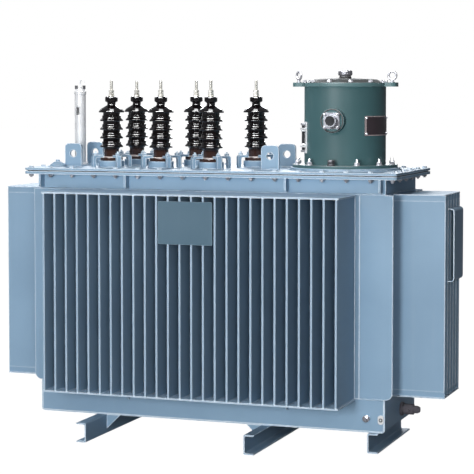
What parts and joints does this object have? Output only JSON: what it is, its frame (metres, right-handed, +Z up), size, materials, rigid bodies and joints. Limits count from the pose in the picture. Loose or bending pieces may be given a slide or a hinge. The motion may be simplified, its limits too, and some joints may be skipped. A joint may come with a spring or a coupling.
{
  "type": "power transformer",
  "caption": "Oil-filled power transformer with a finned tank on channel skids, a bolted cover, porcelain bushings and a drum-shaped on-load tap changer.",
  "frame": {"origin": "middle of the whole transformer's underside, on the ground", "axes": "+X along the tank towards the tap changer, +Y from the name-plate side to the rear, +Z up"},
  "size_m": [1.974, 0.9804, 1.529],
  "materials": {
    "tank_paint": "light steel-blue semi-gloss enamel",
    "changer_paint": "dark teal-green gloss enamel",
    "porcelain": "near-black brown glazed porcelain, with the gloss of glass",
    "terminal_metal": "tinned brass",
    "bright_metal": "zinc-plated",
    "gauge_glass": "clear glass over dark oil",
    "dark_plate": "dark brown, blank",
    "name_plate": "grey-blue, blank",
    "level_tube_metal": "pale satin",
    "gasket": "black oil-resistant rubber",
    "valve_metal": "painted brass"
  },
  "bodies": {
    "root": {"band_ends": "tank_paint", "band_sides": "tank_paint", "band_stiffeners": "tank_paint", "changer_cap": "bright_metal", "changer_drum": "changer_paint", "changer_drum_flange": "changer_paint", "changer_eye_bolts": "bright_metal", "changer_gauge_glass": "gauge_glass", "changer_lid": "changer_paint", "changer_name_plate": "dark_plate", "changer_oil_gauge": "bright_metal", "changer_seat": "tank_paint", "changer_sight_bezel": "bright_metal", "changer_sight_boss": "changer_paint", "changer_sight_glass": "gauge_glass", "cover_gasket": "gasket", "cover_plate": "tank_paint", "drain_valve": "valve_metal", "earth_pad": "bright_metal", "earth_stud": "bright_metal", "end_bracket": "tank_paint", "end_corner_strips": "tank_paint", "end_fin_lids": "tank_paint", "filler_plug": "tank_paint", "flange_ends": "tank_paint", "flange_sides": "tank_paint", "front_bushing_clamps": "tank_paint", "front_fin_shelves": "tank_paint", "front_fin_wall": "tank_paint", "front_left_bushing": "porcelain", "front_middle_bushing": "porcelain", "front_name_plate": "name_plate", "front_right_bushing": "porcelain", "front_terminal_studs": "terminal_metal", "left_fin_wall": "tank_paint", "left_lifting_lugs": "tank_paint", "left_skid": "tank_paint", "level_tube": "level_tube_metal", "level_tube_cap": "level_tube_metal", "middle_skid": "tank_paint", "rear_bushing_clamps": "tank_paint", "rear_fin_shelves": "tank_paint", "rear_fin_wall": "tank_paint", "rear_left_bushing": "porcelain", "rear_middle_bushing": "porcelain", "rear_right_bushing": "porcelain", "rear_terminal_studs": "terminal_metal", "right_fin_wall": "tank_paint", "right_lifting_lugs": "tank_paint", "right_skid": "tank_paint", "shelf_brackets": "tank_paint", "side_corner_strips": "tank_paint", "skid_gussets": "tank_paint", "tray_ends": "tank_paint", "tray_floor": "tank_paint", "tray_sides": "tank_paint"}
  },
  "joints": []
}
